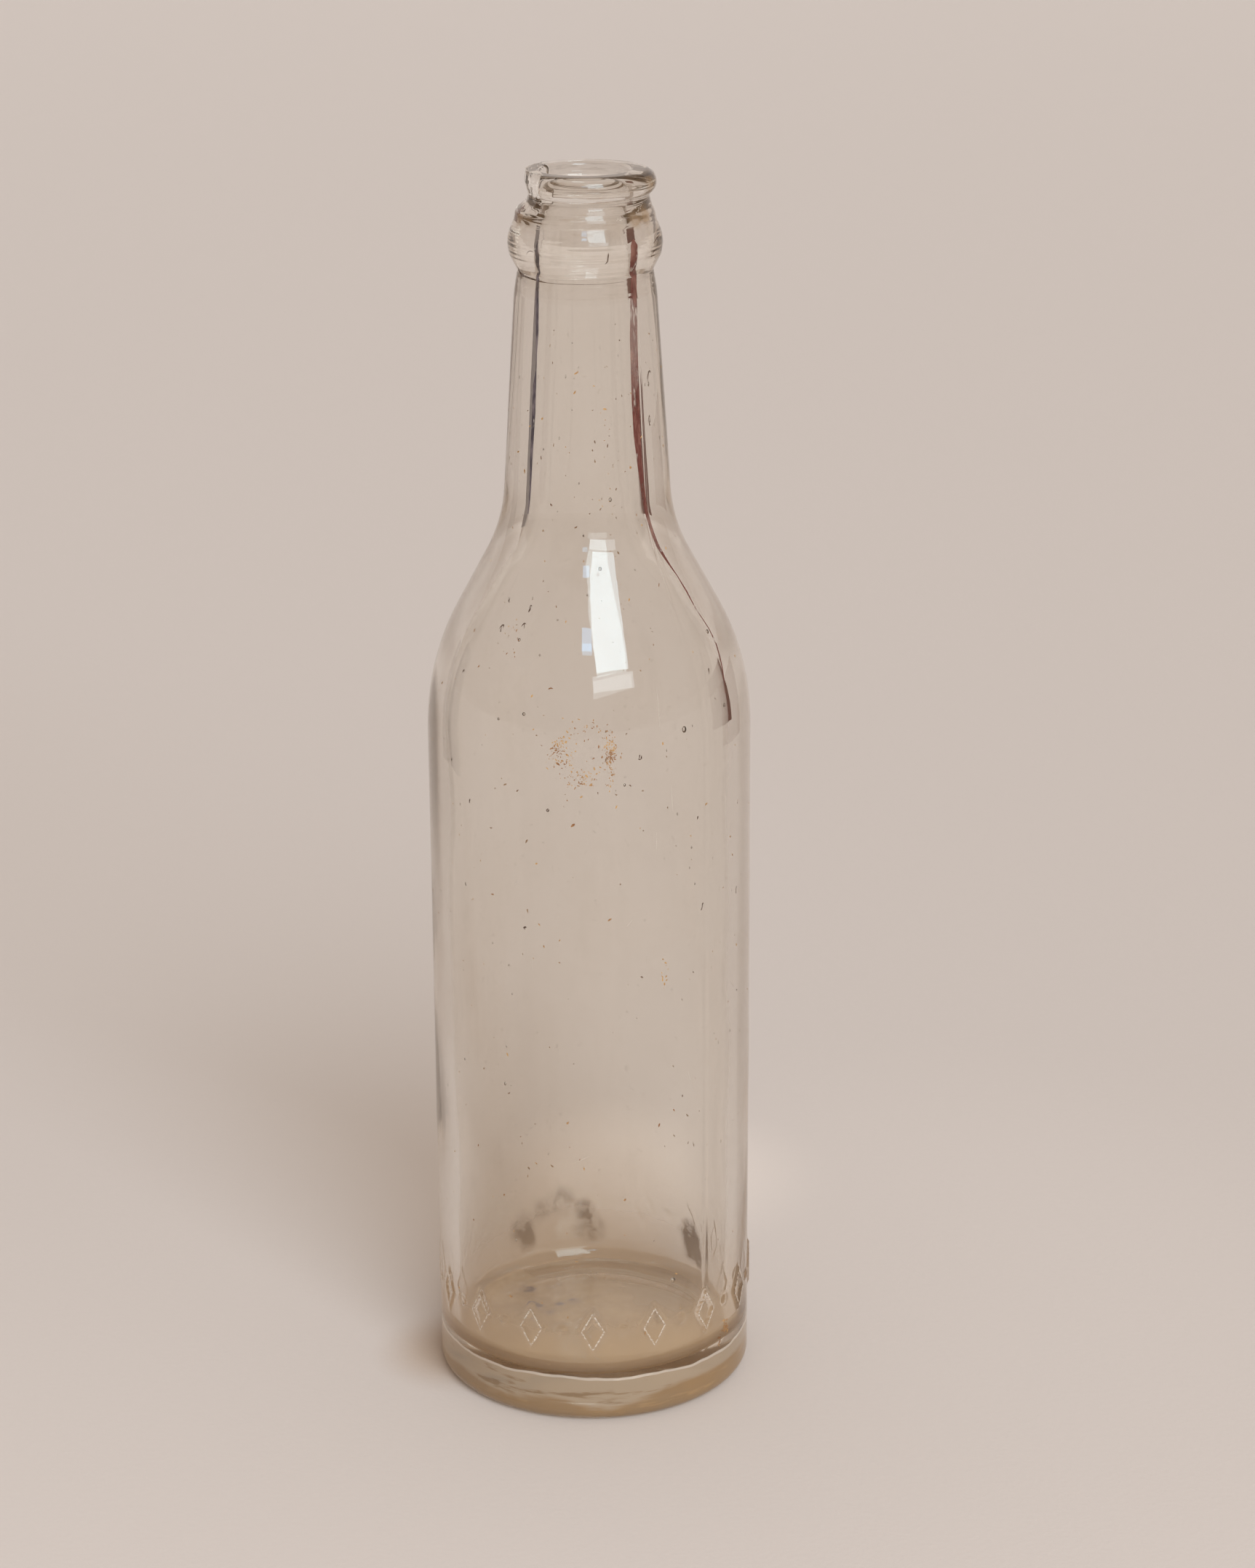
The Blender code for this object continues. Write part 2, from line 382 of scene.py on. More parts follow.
def dried_film_and_edge_shade():
    """Tan haze that dried soda left on the inside of the wall, milkier towards the bottom, with painted
    shade: darker brown at the sides of the shoulder and along the right edge of the body, and a painted
    dark reflection in a strip along the left edge.
    """
    graph = Graph("dried_film_and_edge_shade")
    place = graph.place()
    across, depth, height = graph.split(place)
    low = height.fall(9.0, 46.0)
    near = (0.0 - depth).rise(-1.5, 2.0)
    streaks = graph.noise(graph.stretched(place, (1.0, 1.0, 0.22)), 12.0 * MM, 4.0)
    cloud = graph.noise(place, 30.0 * MM, 4.0)
    dust = graph.noise(place, 1.5 * MM, 2.0).step(0.66, 0.8)
    sideways = across * across / (across * across + depth * depth)
    # Painted shade: darker brown at the sides of the shoulder, as seen from the front.
    shoulder = height.rise(146.0, 152.0) * height.fall(172.0, 184.0)
    shoulder = shoulder * sideways.step(0.72, 0.95)
    body = height.fall(150.0, 166.0) * near
    # Painted reflection: a dark strip along the left edge of the body; the next line is painted shade
    # along the right edge.
    left_edge_reflection = (0.0 - across).rise(26.0, 26.9) * height.rise(84.0, 128.0) * body
    right_edge = across.rise(25.6, 26.4) * body
    patch = (0.0 - across).rise(14.0, 26.0) * height.rise(66.0, 78.0)
    patch = patch * height.fall(86.0, 106.0) * streaks.step(0.35, 0.7)
    alpha = (
        0.045
        + 0.38 * low * low
        + 0.06 * streaks.step(0.5, 0.8)
        + 0.05 * cloud.step(0.45, 0.75)
        + 0.10 * dust
        + 0.36 * left_edge_reflection
        + 0.12 * right_edge
        + 0.10 * patch
        + 0.16 * shoulder
    ).clamped()
    tan = graph.blend(streaks.step(0.35, 0.7), (0.66, 0.54, 0.40), (0.80, 0.70, 0.58))
    tan = graph.blend(low.step(0.05, 0.5), tan, (0.93, 0.80, 0.64))
    tan = graph.blend(low.step(0.6, 1.0), tan, (0.88, 0.69, 0.46))
    # Painted shade at the sides of the shoulder and along the right edge of the body.
    tan = graph.blend((shoulder + right_edge).clamped(), tan, (0.45, 0.34, 0.23))
    tan = graph.blend(patch, tan, (0.55, 0.36, 0.16))
    # Painted dark reflection along the left edge of the body.
    colour = graph.blend(left_edge_reflection, tan, (0.17, 0.10, 0.04))
    return graph.matt(colour, alpha, 0.85)


def floor_sediment_and_corner_light():
    """Tan sediment dried on the inner floor, with slate clots and a few yellow grains, and painted
    light that makes it paler in the rounded corner of the floor.
    """
    graph = Graph("floor_sediment_and_corner_light")
    place = graph.place()
    across, depth, height = graph.split(place)
    patches = graph.noise(place, 13.0 * MM, 4.0)
    ragged = graph.noise(place, 2.6 * MM, 3.0, 0.6)
    clots = graph.spots(place, [
        ((right * MM, back * MM, FLOOR_MIDDLE), size * MM, strength)
        for right, back, size, strength in FLOOR_CLOTS
    ])
    clots = (clots * (0.6 + 1.0 * ragged.step(0.38, 0.6))).clamped()
    grains = graph.spots(place, [
        ((right * MM, back * MM, FLOOR_MIDDLE), size * MM, 1.0)
        for right, back, size in FLOOR_GRAINS
    ]).clamped()
    tan = graph.blend(patches.step(0.3, 0.7), (0.70, 0.50, 0.26), (0.92, 0.73, 0.46))
    colour = graph.blend(clots, tan, (0.20, 0.15, 0.17))
    colour = graph.blend(grains, colour, (0.72, 0.42, 0.05))
    thin = (depth + 0.5 * across).rise(2.0, 20.0)
    # Painted light: paler in the rounded corner of the floor, lifting the shade there.
    corner = height.rise(9.6, 11.2)
    colour = graph.blend(corner * 0.7, colour, (0.98, 0.86, 0.68))
    up_corner = height.fall(10.6, 13.0) * (1.0 - 0.55 * thin)
    alpha = (0.42 + 0.3 * patches.step(0.3, 0.75) + 0.4 * grains + 0.4 * clots).clamped() * up_corner
    return graph.matt(colour, alpha, Normal=graph.bump(patches, 0.15 * MM))


def base_stain():
    """Brown streaks low in the thick base, with paler frosting above them."""
    graph = Graph("base_stain")
    place = graph.place()
    across, _, height = graph.split(place)
    streaks = graph.noise(graph.stretched(place, (0.13, 0.13, 1.0)), 1.5 * MM, 4.0, 0.6)
    cloud = graph.noise(place, 18.0 * MM, 3.0)
    edge = height + (streaks - 0.5) * (2.6 * MM) + (cloud - 0.5) * (6.0 * MM)
    right = across.rise(6.0, 22.0)
    rise = edge - right * (3.2 * MM)
    brown = rise.fall(3.0, 4.8) * height.rise(0.4, 1.0)
    line = streaks.step(0.54, 0.66)
    brim = height + (cloud - 0.5) * (3.0 * MM)
    rim = brim.rise(9.1, 9.3)
    frosted = graph.blend(line, (0.66, 0.56, 0.43), (0.34, 0.24, 0.14))
    frosted = graph.blend(rim, frosted, (1.0, 0.95, 0.87))
    amber = graph.blend(cloud.step(0.4, 0.6), (0.40, 0.27, 0.14), (0.44, 0.29, 0.14))
    fade = brim.fall(9.6, 9.9)
    alpha = ((0.62 + 0.2 * line + 0.16 * brown) * fade).clamped()
    return graph.matt(graph.blend(brown, frosted, amber), alpha)


def rust_streak():
    """Red-brown and slate dirt in a ragged upright streak."""
    graph = Graph("rust_streak")
    place = graph.place()
    across = graph.split(place)[0]
    grain = graph.noise(graph.stretched(place, (1.0, 1.0, 0.25)), 1.1 * MM, 4.0, 0.65)
    cloud = graph.noise(graph.stretched(place, (1.0, 1.0, 0.4)), 8.0 * MM, 2.0)
    red = graph.blend(grain.step(0.45, 0.7), (0.13, 0.034, 0.024), (0.26, 0.12, 0.09))
    slate = graph.blend(grain.step(0.4, 0.7), (0.05, 0.04, 0.05), (0.24, 0.20, 0.21))
    colour = graph.blend(across.rise(-1.0, 1.0), slate, red)
    alpha = (grain.step(0.30, 0.46) * (0.7 + 0.4 * cloud.step(0.35, 0.6))).clamped()
    return graph.matt(colour, alpha)


def rust_specks():
    """Rust-brown specks, some of them yellower."""
    graph = Graph("rust_specks")
    place = graph.place()
    kind = graph.noise(place, 3.0 * MM, 2.0)
    colour = graph.blend(kind.step(0.35, 0.6), (0.27, 0.13, 0.055), (0.56, 0.35, 0.15))
    shader = graph.principled(Base_Color=colour, Roughness=0.75, Normal=graph.bump(kind, 0.05 * MM))
    return graph.finish(shader)


def finish_grime_and_shade():
    """Faint brown grime in rings round the finish, with painted shade in soft darker blotches under the
    lip, at the sides of the throat.
    """
    graph = Graph("finish_grime_and_shade")
    place = graph.place()
    height = graph.split(place)[2]
    rings = graph.noise(graph.stretched(place, (0.12, 0.12, 1.0)), 0.7 * MM, 3.0)
    cloud = graph.noise(place, 7.0 * MM, 3.0)
    # Painted shade: darker blotches under the lip at the sides of the throat.
    shade_blotches = graph.spots(place, on_the_wall(THROAT_SHADE_BLOTCHES))
    throat = height.rise(229.0, 235.0)
    alpha = (
        0.04
        + 0.16 * rings.step(0.52, 0.72) * (0.35 + throat)
        + 0.08 * cloud.step(0.45, 0.75)
        + 0.06 * throat
        + shade_blotches
    ).clamped()
    colour = graph.blend(cloud, (0.26, 0.16, 0.09), (0.50, 0.37, 0.23))
    return graph.matt(colour, alpha)


def heel_dirt():
    """Slate and purple-brown dirt in patches at the back of the heel."""
    graph = Graph("heel_dirt")
    place = graph.place()
    ragged = graph.noise(place, 3.2 * MM, 4.0, 0.65)
    patches = graph.spots(place, on_the_wall(DIRT_PATCHES))
    alpha = (patches * (0.5 + 1.0 * ragged.step(0.38, 0.62))).clamped()
    colour = graph.blend(ragged, (0.13, 0.10, 0.125), (0.25, 0.18, 0.17))
    return graph.matt(colour, alpha)


def dark_dirt():
    """Nearly black-brown dirt packed into grooves and nicks."""
    graph = Graph("dark_dirt")
    crumbs = graph.noise(graph.place(), 0.6 * MM, 3.0)
    colour = graph.blend(crumbs, (0.045, 0.022, 0.012), (0.13, 0.075, 0.045))
    alpha = (0.55 + 0.8 * crumbs.step(0.3, 0.6)).clamped()
    return graph.matt(colour, alpha, Normal=graph.bump(crumbs, 0.03 * MM))


def pale_scuff_and_glint():
    """Bruised glass, and the painted glints on the front ornament: pale, broken up and slightly
    see-through.
    """
    graph = Graph("pale_scuff_and_glint")
    crumbs = graph.noise(graph.place(), 0.35 * MM, 2.0)
    colour = graph.blend(crumbs, (0.55, 0.48, 0.40), (0.86, 0.82, 0.74))
    alpha = crumbs.step(0.35, 0.62) * 0.75
    return graph.matt(colour, alpha, 0.6, Normal=graph.bump(crumbs, 0.03 * MM))


def paper():
    """The pale, faintly mottled paper under the bottle, with painted light and shade: lighter towards
    the front, painted shade at the left, painted light patches right of and behind the bottle, and a
    painted contact shadow at the left of its base.
    """
    graph = Graph("paper")
    place = graph.place()
    depth = graph.split(place)[1]
    cloud = graph.noise(place, 0.5, 3.0)
    fibres = graph.noise(place, 1.2 * MM, 2.0)
    # Painted light: the paper is lighter towards the front.
    front_lit_colour = graph.blend(depth.step(-0.22, 0.16), (0.83, 0.792, 0.756), (0.715, 0.678, 0.645))
    left_shade_colour = graph.blend(cloud, (0.66, 0.615, 0.57), (0.69, 0.645, 0.60))
    # Painted shade: a broad darker patch at the left.
    colour = graph.blend(graph.spot(place, (-0.42, 0.30, 0.0), 0.36) * 0.9, front_lit_colour, left_shade_colour)
    # Painted light: a lighter patch to the right of and behind the bottle.
    painted_light_patch = graph.spot(place, (0.07, 0.05, 0.0), 0.13) * 0.4
    colour = graph.blend(painted_light_patch, colour, (0.80, 0.762, 0.727))
    # Painted light: a lighter patch behind the bottle, a painted caustic where the glass gathers light.
    painted_caustic = graph.spot(place, (0.008, 0.085, 0.0), 0.048) * 0.8
    colour = graph.blend(painted_caustic, colour, (0.92, 0.87, 0.815))
    # Painted shadow: a brown contact shadow at the left of the base.
    painted_contact_shadow = graph.spot(place, (-0.027, 0.0, 0.0), 0.020) * 0.8
    colour = graph.blend(painted_contact_shadow, colour, (0.55, 0.44, 0.34))
    shader = graph.principled(
        Base_Color=colour,
        Roughness=0.9,
        Specular_IOR_Level=0.15,
        Normal=graph.bump(fibres, 0.05 * MM),
    )
    return graph.finish(shader)


def plain_card(name, colour):
    """A matt card that stands beside the set and is seen only in the glass."""
    graph = Graph(name)
    grain = graph.noise(graph.place(), 0.05, 3.0)
    darker = tuple(0.7 * part for part in colour)
    shader = graph.principled(Base_Color=graph.blend(grain, darker, colour), Roughness=0.9)
    return graph.finish(shader)


# ---------------------------------------------------------------- turned lines

def arc(centre, start, turn):
    """Points from start, turned round centre by an angle, both ends included."""
    steps = max(2, math.ceil(abs(turn) / ARC_STEP))
    angles = np.linspace(0.0, turn, steps + 1)
    across, up = np.subtract(start, centre)
    radii = centre[0] + across * np.cos(angles) - up * np.sin(angles)
    heights = centre[1] + across * np.sin(angles) + up * np.cos(angles)
    return list(zip(radii, heights))


def rounded_line(corners):
    """Points along a line through corners (radius, height, rounding), with the corners rounded."""
    points = []
    for index, (radius, height, rounding) in enumerate(corners):
        if rounding == 0.0 or index in (0, len(corners) - 1):
            points.append((radius, height))
            continue
        corner = Vector((radius, height))
        back = (Vector(corners[index - 1][:2]) - corner).normalized()
        ahead = (Vector(corners[index + 1][:2]) - corner).normalized()
        half = back.angle(ahead) / 2
        centre = corner + (back + ahead).normalized() * (rounding / math.sin(half))
        side = 1.0 if back.cross(ahead) < 0.0 else -1.0
        start = corner + back * (rounding / math.tan(half))
        points += arc(centre, start, side * (math.pi - 2 * half))
    return points


def divided(points, spacing):
    """The line with long stretches cut up; spacing(height) is the longest stretch there."""
    result = [points[0]]
    for (radius, height), (next_radius, next_height) in zip(points, points[1:]):
        length = math.hypot(next_radius - radius, next_height - height)
        pieces = max(1, math.ceil(length / spacing((height + next_height) / 2)))
        for piece in range(1, pieces + 1):
            share = piece / pieces
            result.append((
                radius + (next_radius - radius) * share,
                height + (next_height - height) * share,
            ))
    return result


def lip_bead():
    """The round outer side of the lip, from the throat up to the flat top."""
    middle = LIP_RADIUS - LIP_ROUND
    start = math.acos((THROAT_RADIUS + LIP_ROOT - middle) / LIP_ROUND)
    points = []
    for angle in np.linspace(-start, math.pi / 2, 48):
        rise = LIP_ROUND if angle < 0.0 else HEIGHT - LIP_Z
        points.append((middle + LIP_ROUND * math.cos(angle), LIP_Z + rise * math.sin(angle)))
    return points


def outer_line():
    """The outside, from the middle of the base up to the flat top of the lip."""
    up_to_throat = rounded_line([
        (0.0, PUSH_UP, 0.0),
        (PUSH_UP_RADIUS, PUSH_UP_EDGE, 2.0 * MM),
        (RING_INNER, 0.0, 0.4 * MM),
        (BODY_RADIUS, 0.0, HEEL_ROUND),
        (BODY_RADIUS, ORNAMENT_Z - ORNAMENT_BAND, 0.0),
        (BODY_RADIUS, ORNAMENT_Z + ORNAMENT_BAND, 0.0),
        (BODY_RADIUS, SHOULDER_Z, 50.0 * MM),
        (*NECK_FOOT, 30.0 * MM),
        (*NECK_TOP, 8.0 * MM),
        (*GROOVE, 1.3 * MM),
        (*RING_LOW, 3.0 * MM),
        (*RING, 6.4 * MM),
        (*RING_HIGH, 2.5 * MM),
        (*RING_STEP, 1.5 * MM),
        (*THROAT_EDGE, 1.5 * MM),
        (THROAT_RADIUS, THROAT_LOW_Z, 1.5 * MM),
        (THROAT_RADIUS, LIP_Z, 0.0),
    ])
    return up_to_throat[:-1] + lip_bead()


def inner_line():
    """The inside, from the flat top of the lip down to the middle of the floor."""
    return rounded_line([
        (LIP_LAND, HEIGHT, 0.0),
        (MOUTH_RADIUS, HEIGHT, 0.8 * MM),
        (BORE_TOP_RADIUS, BORE_TOP_HIGH_Z, 0.0),
        (BORE_TOP_RADIUS, BORE_TOP_LOW_Z, 60.0 * MM),
        (*BORE_FOOT, 22.0 * MM),
        (BODY_BORE, SHOULDER_Z, 44.0 * MM),
        (BODY_BORE, FLOOR_EDGE, FLOOR_ROUND),
        (0.0, FLOOR_MIDDLE, 0.0),
    ])


def outer_spacing(height):
    """Longest stretch of the outside at a height."""
    if abs(height - ORNAMENT_Z) < ORNAMENT_BAND:
        return 0.45 * MM
    if height > NECK_TOP[1]:
        return 0.3 * MM
    return 2.5 * MM


def inner_spacing(height):
    """Longest stretch of the inside at a height."""
    return 3.0 * MM


# ---------------------------------------------------------------- small relief of the glass

def lozenge_relief(across, up):
    """Height of a lozenge outline, from 0 to 1, at a place measured from its middle."""
    size = np.abs(across) / LOZENGE_HALF_WIDTH + np.abs(up) / LOZENGE_HALF_HEIGHT
    return np.clip(1.25 - np.abs(size - 0.78) / 0.22, 0.0, 1.0)


def ornament_relief(angles, heights):
    """Lozenges and studs by turns round the heel, in metres above the wall."""
    pitch = 2 * math.pi / ORNAMENT_COUNT
    up = heights - ORNAMENT_Z
    across = (np.mod(angles + pitch / 2, pitch) - pitch / 2) * BODY_RADIUS
    relief = lozenge_relief(across, up)
    stud = (np.mod(angles, pitch) - pitch / 2) * BODY_RADIUS
    relief = np.maximum(relief, np.clip(1.9 - np.hypot(stud, up) / STUD_RADIUS * 1.4, 0.0, 1.0))
    worn = 0.58 + 0.38 * np.sin(angles + 2.5)
    return ORNAMENT_RISE * worn * relief * relief * (3.0 - 2.0 * relief)


def seam_relief(angles, heights):
    """The two fine lines where the halves of the mould met, up to the neck ring."""
    relief = np.zeros_like(angles)
    for seam in SEAM_ANGLES:
        away = np.mod(angles - math.radians(seam - 90.0) + math.pi, 2 * math.pi) - math.pi
        relief += np.exp(-((away * BODY_RADIUS / (0.35 * MM)) ** 2))
    fade = np.clip((GROOVE[1] - heights) / (4.0 * MM), 0.0, 1.0)
    fade *= np.clip((heights - 4.0 * MM) / (4.0 * MM), 0.0, 1.0)
    return 0.07 * MM * relief * fade


def tool_rings(angles, heights):
    """Fine rings that the finishing tool left round the neck ring, throat and lip."""
    tool = np.clip((heights - NECK_TOP[1]) / (2.0 * MM), 0.0, 1.0)
    tool *= np.clip((HEIGHT - 1.5 * MM - heights) / (1.5 * MM), 0.0, 1.0)
    drift = 0.25 * MM * np.sin(2 * angles + 0.7)
    rings = np.sin((heights + drift) * 2 * math.pi / (1.15 * MM))
    rings += 0.8 * np.sin((heights - 0.6 * drift) * 2 * math.pi / (0.78 * MM) + 1.3)
    patches = 0.5 + 0.5 * np.sin(angles * 1.0 + heights / (2.3 * MM))
    return 0.018 * MM * rings * tool * (0.35 + 0.65 * patches)


def slow_waves(angles, heights, seed, size):
    """Gentle unevenness of hand-fed glass, from about -1 to 1."""
    waves = np.empty(len(angles))
    offset = Vector((seed * 7.3, seed * 3.1, seed * 1.7))
    for index, (angle, height) in enumerate(zip(angles, heights)):
        place = Vector((math.cos(angle), math.sin(angle), height / size)) * 1.1
        waves[index] = noise.noise(place + offset)
    return waves


def lathe_grid(line):
    """Angles, radii and heights of a turned line's points, ring by ring, without its axis ends."""
    angles = np.tile(np.arange(SIDES) * 2 * math.pi / SIDES, len(line))
    radii = np.repeat([point[0] for point in line], SIDES)
    heights = np.repeat([point[1] for point in line], SIDES)
    return angles, radii, heights


def turned_mesh(name, places, low_end, high_end):
    """A closed mesh from rings of points, with a point on the axis at each end."""
    count = len(places)
    rings = count // SIDES
    points = np.vstack([places, [low_end, high_end]])
    side = np.arange(SIDES)
    after = (side + 1) % SIDES
    faces = []
    for ring in range(rings - 1):
        low = ring * SIDES
        high = low + SIDES
        faces += np.column_stack([low + side, low + after, high + after, high + side]).tolist()
    faces += np.column_stack([np.full(SIDES, count), after, side]).tolist()
    top = (rings - 1) * SIDES
    faces += np.column_stack([np.full(SIDES, count + 1), top + side, top + after]).tolist()
    mesh = bpy.data.meshes.new(name)
    mesh.from_pydata(points.tolist(), [], faces)
    mesh.validate()
    mesh.update()
    return mesh


def mesh_from(name, shape):
    """A mesh from an edited shape, which is then freed."""
    mesh = bpy.data.meshes.new(name)
    shape.to_mesh(mesh)
    shape.free()
    return mesh


def fill_between(shape, rows):
    """Faces between neighbouring rows of a shape's points."""
    for low, high in zip(rows, rows[1:]):
        for col in range(len(low) - 1):
            shape.faces.new((low[col], low[col + 1], high[col + 1], high[col]))


def new_piece(name, mesh, material=None):
    """An object for a mesh, with its material."""
    piece = bpy.data.objects.new(name, mesh)
    bpy.context.collection.objects.link(piece)
    if material is not None:
        mesh.materials.append(material)
    return piece


# ---------------------------------------------------------------- the bottle

def inside_places(line):
    """Points of the inner wall with its unevenness, from a turned line."""
    angles, radii, heights = lathe_grid(line)
    wall = np.clip((HEIGHT - heights) / (10.0 * MM), 0.0, 1.0) * np.clip(radii / BODY_BORE, 0.0, 1.0)
    sag = 0.5 * MM * slow_waves(angles, radii, 3, 14.0 * MM) * (heights < FLOOR_EDGE + 4.0 * MM)
    lean = INNER_LEAN * np.clip((HEIGHT - heights) / (20.0 * MM), 0.0, 1.0)
    places = radii + 0.35 * MM * wall * slow_waves(angles, heights, 2, 26.0 * MM)
    return np.column_stack([
        places * np.cos(angles) + lean,
        places * np.sin(angles),
        heights + sag * np.clip(radii / BODY_BORE, 0.0, 1.0),
    ])


def glass_blank():
    """The whole bottle before the flake came off its lip."""
    outside = divided(outer_line(), outer_spacing)
    inside = divided(inner_line(), inner_spacing)
    angles, radii, heights = lathe_grid(outside[1:])
    wall = np.clip(heights / (6.0 * MM), 0.0, 1.0)
    radii = radii + 0.10 * MM * wall * slow_waves(angles, heights, 1, 30.0 * MM)
    radii += ornament_relief(angles, heights) * (radii > 0.9 * BODY_RADIUS)
    radii += (seam_relief(angles, heights) + tool_rings(angles, heights)) * wall
    outer = np.column_stack([radii * np.cos(angles), radii * np.sin(angles), heights])
    inner = inside_places(inside[1:-1])
    low_end = (0.0, 0.0, PUSH_UP)
    high_end = (INNER_LEAN, 0.0, FLOOR_MIDDLE)
    return turned_mesh("glass_bottle_fine", np.vstack([outer, inner]), low_end, high_end)


def flake_surface(turn, height):
    """Radius that the broken surface leaves, at a turn from -X in degrees and a height in mm."""
    heights, depths = zip(*FLAKE_LINE)
    radius = np.interp(height, heights, depths)
    share = np.clip((np.abs(turn - 1.0) - FLAKE_HALF_ANGLE + 9.0) / 11.0, 0.0, 1.0)
    radius = radius + 4.0 * share * share * (3.0 - 2.0 * share)
    from_blow = np.hypot((turn - 12.0) * 0.19, height - 242.0)
    ripples = np.sin(from_blow * 2 * math.pi / 1.3) * np.clip(from_blow / 5.0, 0.0, 1.0)
    steps = np.abs(np.mod(turn / 21.0 + 0.3, 1.0) - 0.5)
    return (radius + 0.02 * ripples + 0.25 * steps) * MM


def flake_cutter():
    """A curved block whose inner face is the rippled surface that a struck flake leaves."""
    turns = np.linspace(-72.0, 72.0, 120)
    heights = np.linspace(232.0, 246.0, 70)
    grid_turns, grid_heights = np.meshgrid(turns, heights)
    radii = flake_surface(grid_turns, grid_heights)
    shape = bmesh.new()

    def corner(radius, turn, height):
        angle = math.pi - math.radians(turn)
        place = (radius * math.cos(angle), -radius * math.sin(angle), height * MM)
        return shape.verts.new(place)

    near = [
        [corner(radii[row, col], turns[col], heights[row]) for col in range(len(turns))]
        for row in range(len(heights))
    ]
    far = [[corner(22.0 * MM, turn, height) for turn in turns] for height in (232.0, 246.0)]
    for rows in (near, far, (near[0], far[0]), (near[-1], far[1])):
        fill_between(shape, rows)
    for col in (0, -1):
        shape.faces.new([row[col] for row in near] + [far[1][col], far[0][col]])
    bmesh.ops.recalc_face_normals(shape, faces=shape.faces)
    return new_piece("flake_cutter", mesh_from("flake_cutter", shape))


def with_flake_struck_off(mesh):
    """The bottle's mesh with the flake cut from its lip."""
    blank = new_piece("glass_blank", mesh)
    cutter = flake_cutter()
    cut = blank.modifiers.new("flake", "BOOLEAN")
    cut.operation = "DIFFERENCE"
    cut.solver = "EXACT"
    cut.object = cutter
    evaluated = blank.evaluated_get(bpy.context.evaluated_depsgraph_get())
    result = bpy.data.meshes.new_from_object(evaluated)
    bpy.data.objects.remove(blank)
    bpy.data.objects.remove(cutter)
    return result


def from_widest_up(line):
    """Radii and heights of the outside, from its first widest place up."""
    radii, heights = np.array(line).T
    start = int(np.argmax(radii > radii.max() - 0.01 * MM))
    return radii[start:], heights[start:]


OUTSIDE_RADII, OUTSIDE_HEIGHTS = from_widest_up(outer_line())


def outer_radius(height):
    """Radius of the outside at a height."""
    return float(np.interp(height, OUTSIDE_HEIGHTS, OUTSIDE_RADII))


def wall_point(angle, height, depth):
    """A point at an angle in degrees and a height, depth metres inside the outer surface."""
    radius = outer_radius(height) - depth
    turn = math.radians(angle - 90.0)
    return Vector((radius * math.cos(turn), radius * math.sin(turn), height))


def on_the_wall(marks):
    """Centres, radii and strengths of marks given by angle, height, radius (mm) and strength."""
    return [
        (wall_point(angle, height * MM, 0.0), radius * MM, strength)
        for angle, height, radius, strength in marks
    ]


def seeds():
    """Angles, heights, radii (mm) and stretch of the small air bubbles in the wall."""
    placed = [
        (18, 182, 0.29, 1.6),
        (8, 169.5, 0.34, 1.2),
        (-31, 157, 0.31, 1.1),
        (-20, 155, 0.18, 1.3),
        (-34, 143, 0.24, 1.2),
        (-24, 144.5, 0.31, 1.1),
        (37, 140.5, 0.50, 1.3),
        (61, 156, 0.34, 1.4),
        (31, 28.5, 0.54, 1.1),
    ]
    dice = np.random.default_rng(12)
    for _ in range(46):
        placed.append((
            dice.uniform(-180.0, 180.0),
            dice.uniform(30.0, 212.0),
            dice.uniform(0.084, 0.24),
            dice.uniform(1.1, 2.2),
        ))
    return placed


def add_seeds(mesh):
    """Small closed bubbles in the wall; their faces look into the bubble, as a hollow's do."""
    shape = bmesh.new()
    shape.from_mesh(mesh)
    dice = np.random.default_rng(5)
    for angle, height, radius, stretch in seeds():
        made = bmesh.ops.create_icosphere(shape, subdivisions=2, radius=radius * MM)["verts"]
        middle = wall_point(angle, height * MM, dice.uniform(1.2, 2.6) * MM)
        for vertex in made:
            vertex.co = Vector((vertex.co.x, vertex.co.y, vertex.co.z * stretch)) + middle
        faces = {face for vertex in made for face in vertex.link_faces}
        bmesh.ops.reverse_faces(shape, faces=list(faces))
    shape.to_mesh(mesh)
    shape.free()


def make_bottle():
    """The fine glass bottle, which stands for the solid one."""
    mesh = with_flake_struck_off(glass_blank())
    add_seeds(mesh)
    mesh.materials.clear()
    mesh.shade_smooth()
    mesh.set_sharp_from_angle(angle=math.radians(38))
    bottle = new_piece("glass_bottle_fine", mesh, clear_glass())
    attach(bottle, "root")
    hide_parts("glass_bottle")
    return bottle


# ---------------------------------------------------------------- residue

def residue_piece(name, mesh, material):
    """A piece of residue that goes with the bottle."""
    piece = new_piece(name, mesh, material)
    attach(piece, "root")
    return piece


def smear_piece(name, shape, material):
    """A piece of residue from an edited shape, which is then freed."""
    residue_piece(name, mesh_from(name, shape), material)


def moved_off(line, inset):
    """A turned line moved sideways by inset, towards its right."""
    moved = []
    for index, (radius, height) in enumerate(line):
        before = Vector(line[max(0, index - 1)])
        after = Vector(line[min(len(line) - 1, index + 1)])
        along = (after - before).normalized()
        moved.append((max(0.2 * MM, radius + along.y * inset), height - along.x * inset))
    return moved


def skin_mesh(name, places):
    """An open skin from rings of points."""
    side = np.arange(SIDES)
    after = (side + 1) % SIDES
    faces = []
    for low in range(0, len(places) - SIDES, SIDES):
        high = low + SIDES
        faces += np.column_stack([low + side, low + after, high + after, high + side]).tolist()
    mesh = bpy.data.meshes.new(name)
    mesh.from_pydata(places.tolist(), [], faces)
    mesh.update()
    mesh.shade_smooth()
    return mesh


def outside_places(line):
    """Points of a plain skin turned from a line."""
    angles, radii, heights = lathe_grid(line)
    return np.column_stack([radii * np.cos(angles), radii * np.sin(angles), heights])


